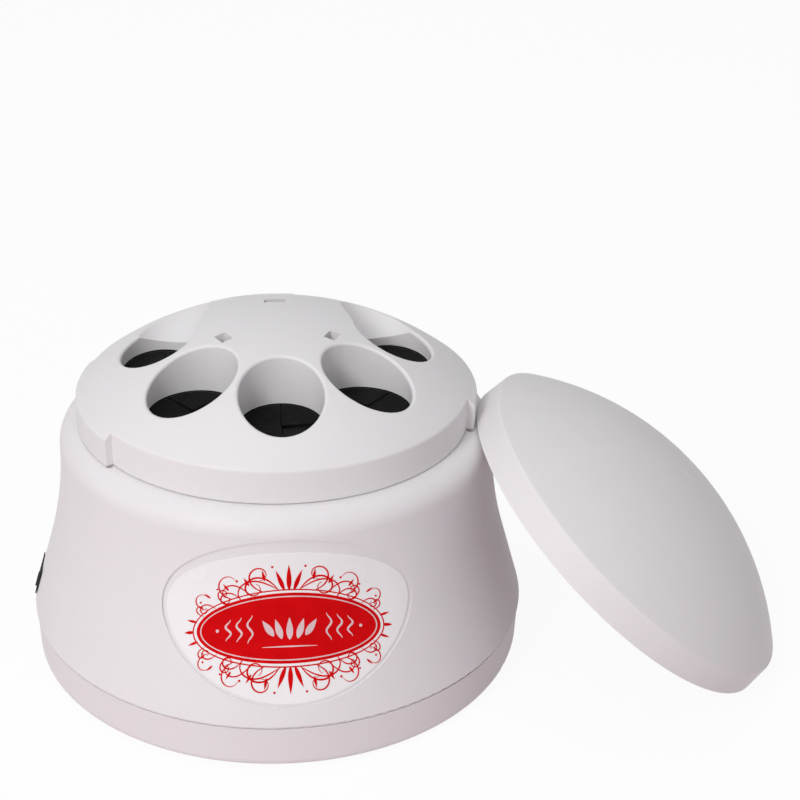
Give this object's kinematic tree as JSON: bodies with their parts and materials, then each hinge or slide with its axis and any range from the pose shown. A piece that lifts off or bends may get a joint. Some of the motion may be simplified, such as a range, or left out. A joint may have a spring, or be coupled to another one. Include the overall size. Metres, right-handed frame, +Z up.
{
  "type": "gel polish remover machine",
  "caption": "Round countertop nail steamer with finger wells in a domed twist-off cover, rocker switch, heated dish inside and a separate closed lid.",
  "frame": {"origin": "centre of the foot ring's underside, on the table", "axes": "+Z up along the machine's round axis, -Y towards the label at the front, +X towards the leaning lid"},
  "size_m": [0.287, 0.1894, 0.1314],
  "materials": {
    "shell_white": "satin white moulded plastic",
    "cover_white": "satin white moulded plastic",
    "label_print": "printed glossy sticker, white with red ornament",
    "black_rubber": "glossy thin rubber",
    "seal_rubber": "matt silicone",
    "foot_rubber": "matt",
    "screw_steel": "zinc plated",
    "dish_metal": "spun, satin",
    "bowl_plastic": "heat resistant plastic",
    "heater_core": "ceramic heating element",
    "mica_sheet": "mica insulation",
    "clamp_steel": "pressed sheet",
    "stat_black": "moulded",
    "shield_steel": "thin sheet",
    "board_green": "glass fibre laminate",
    "relay_blue": "moulded case",
    "chip_black": "moulded",
    "can_metal": "sleeved can",
    "jack_black": "moulded",
    "pin_brass": "plated",
    "switch_black": "moulded",
    "rocker_black": "polished"
  },
  "bodies": {
    "machine": {"housing": "shell_white", "lock_collar": "shell_white", "collar_lugs": "shell_white", "label_panel": "label_print", "base_pan": "shell_white", "foot_ring": "foot_rubber", "base_screws": "screw_steel", "steam_bowl": "bowl_plastic", "dish_gasket": "seal_rubber", "heating_dish": "dish_metal", "dish_screws": "screw_steel", "ptc_heater": "heater_core", "heater_mica": "mica_sheet", "heater_clamp": "clamp_steel", "clamp_screws": "screw_steel", "thermostat": "stat_black", "heat_shield": "shield_steel", "shield_screws": "screw_steel", "control_board": "board_green", "board_screws": "screw_steel", "board_relay": "relay_blue", "board_chip": "chip_black", "board_capacitor": "can_metal", "dc_jack": "jack_black", "dc_jack_pin": "pin_brass", "switch_body": "switch_black", "switch_terminals": "pin_brass"},
    "seal": {"cover_seal": "seal_rubber"},
    "cover": {"finger_cover": "cover_white", "cover_ring": "cover_white", "lock_tabs": "cover_white", "finger_membrane_1": "black_rubber", "finger_membrane_2": "black_rubber", "finger_membrane_3": "black_rubber", "finger_membrane_4": "black_rubber", "finger_membrane_5": "black_rubber", "membrane_retainer": "cover_white", "retainer_screws": "screw_steel"},
    "rocker": {"switch_rocker": "rocker_black"},
    "lid": {"cap": "cover_white"}
  },
  "joints": [
    {"name": "cover_turn", "type": "hinge", "parent": "machine", "child": "seal", "pos_m": [0, 0, 0], "axis": [0, 0, 1], "range_deg": [-25, 0]},
    {"name": "cover_lift", "type": "slide", "parent": "seal", "child": "cover", "axis": [0, 0, 1], "range_m": [0, 0.06]},
    {"name": "switch_rock", "type": "hinge", "parent": "machine", "child": "rocker", "pos_m": [-0.09223, 0.0008, 0.02526], "axis": [0.2824, -0.0025, 0.9593], "range_deg": [0, 18]},
    {"name": "lid_lift", "type": "slide", "parent": "machine", "child": "lid", "axis": [0, 0, 1], "range_m": [0, 0.15]}
  ]
}
